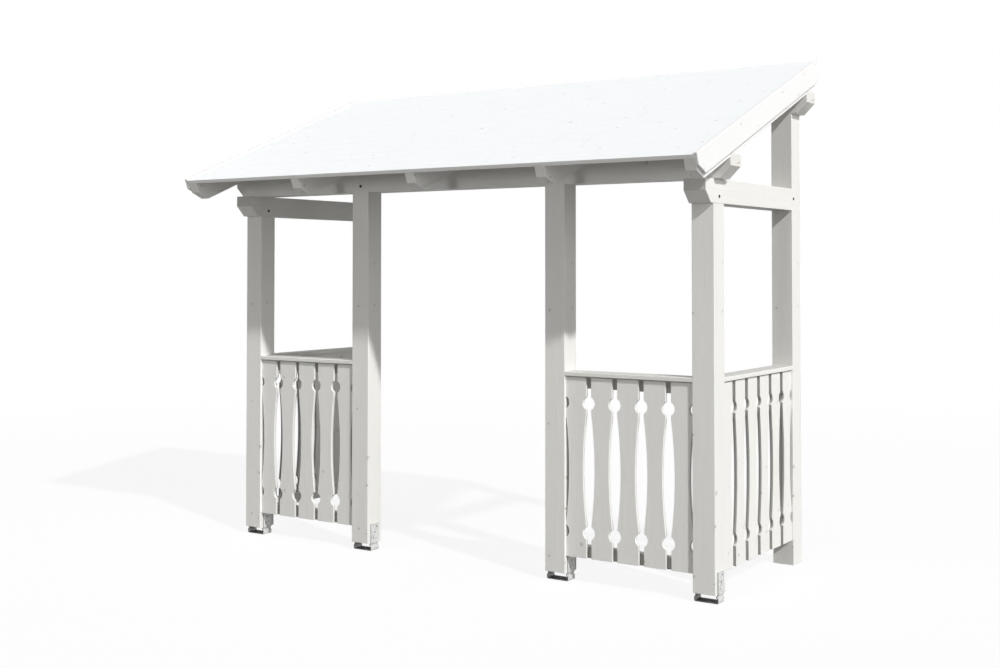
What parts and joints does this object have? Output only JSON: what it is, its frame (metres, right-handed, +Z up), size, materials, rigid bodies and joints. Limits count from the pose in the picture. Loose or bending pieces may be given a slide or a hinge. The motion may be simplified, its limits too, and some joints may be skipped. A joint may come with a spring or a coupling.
{
  "type": "wooden door canopy",
  "caption": "Lean-to timber canopy for a house door: bevelled beams on posts, a sloping board roof and pierced board balustrades on each side of the passage.",
  "frame": {"origin": "on the ground, at the centre of the part's outline in plan, below the middle of the roof", "axes": "+X to the right along the front as seen from outside, +Y towards the house wall, +Z up"},
  "size_m": [3.349, 1.567, 2.7943],
  "materials": {
    "frame_wood": "white glazed spruce",
    "board_wood": "white glazed spruce boards",
    "roof_wood": "white glazed roof boards",
    "galvanised_steel": "hot-dip galvanised"
  },
  "bodies": {
    "root": {"post_front_outer_left": "frame_wood", "post_front_inner_left": "frame_wood", "post_rear_left": "frame_wood", "side_beam_left": "frame_wood", "verge_board_left": "roof_wood", "post_shoe_outer_left": "galvanised_steel", "post_shoe_inner_left": "galvanised_steel", "balustrade_front_left": "board_wood", "handrail_front_left": "board_wood", "upper_rail_front_left": "board_wood", "lower_rail_front_left": "board_wood", "balustrade_side_left": "board_wood", "handrail_side_left": "board_wood", "upper_rail_side_left": "board_wood", "lower_rail_side_left": "board_wood", "post_front_outer_right": "frame_wood", "post_front_inner_right": "frame_wood", "post_rear_right": "frame_wood", "side_beam_right": "frame_wood", "verge_board_right": "roof_wood", "post_shoe_outer_right": "galvanised_steel", "post_shoe_inner_right": "galvanised_steel", "balustrade_front_right": "board_wood", "handrail_front_right": "board_wood", "upper_rail_front_right": "board_wood", "lower_rail_front_right": "board_wood", "balustrade_side_right": "board_wood", "handrail_side_right": "board_wood", "upper_rail_side_right": "board_wood", "lower_rail_side_right": "board_wood", "front_purlin": "frame_wood", "rear_purlin": "frame_wood", "rafter_1": "frame_wood", "rafter_2": "frame_wood", "rafter_3": "frame_wood", "rafter_4": "frame_wood", "rafter_5": "frame_wood", "roof_deck": "roof_wood"}
  },
  "joints": []
}
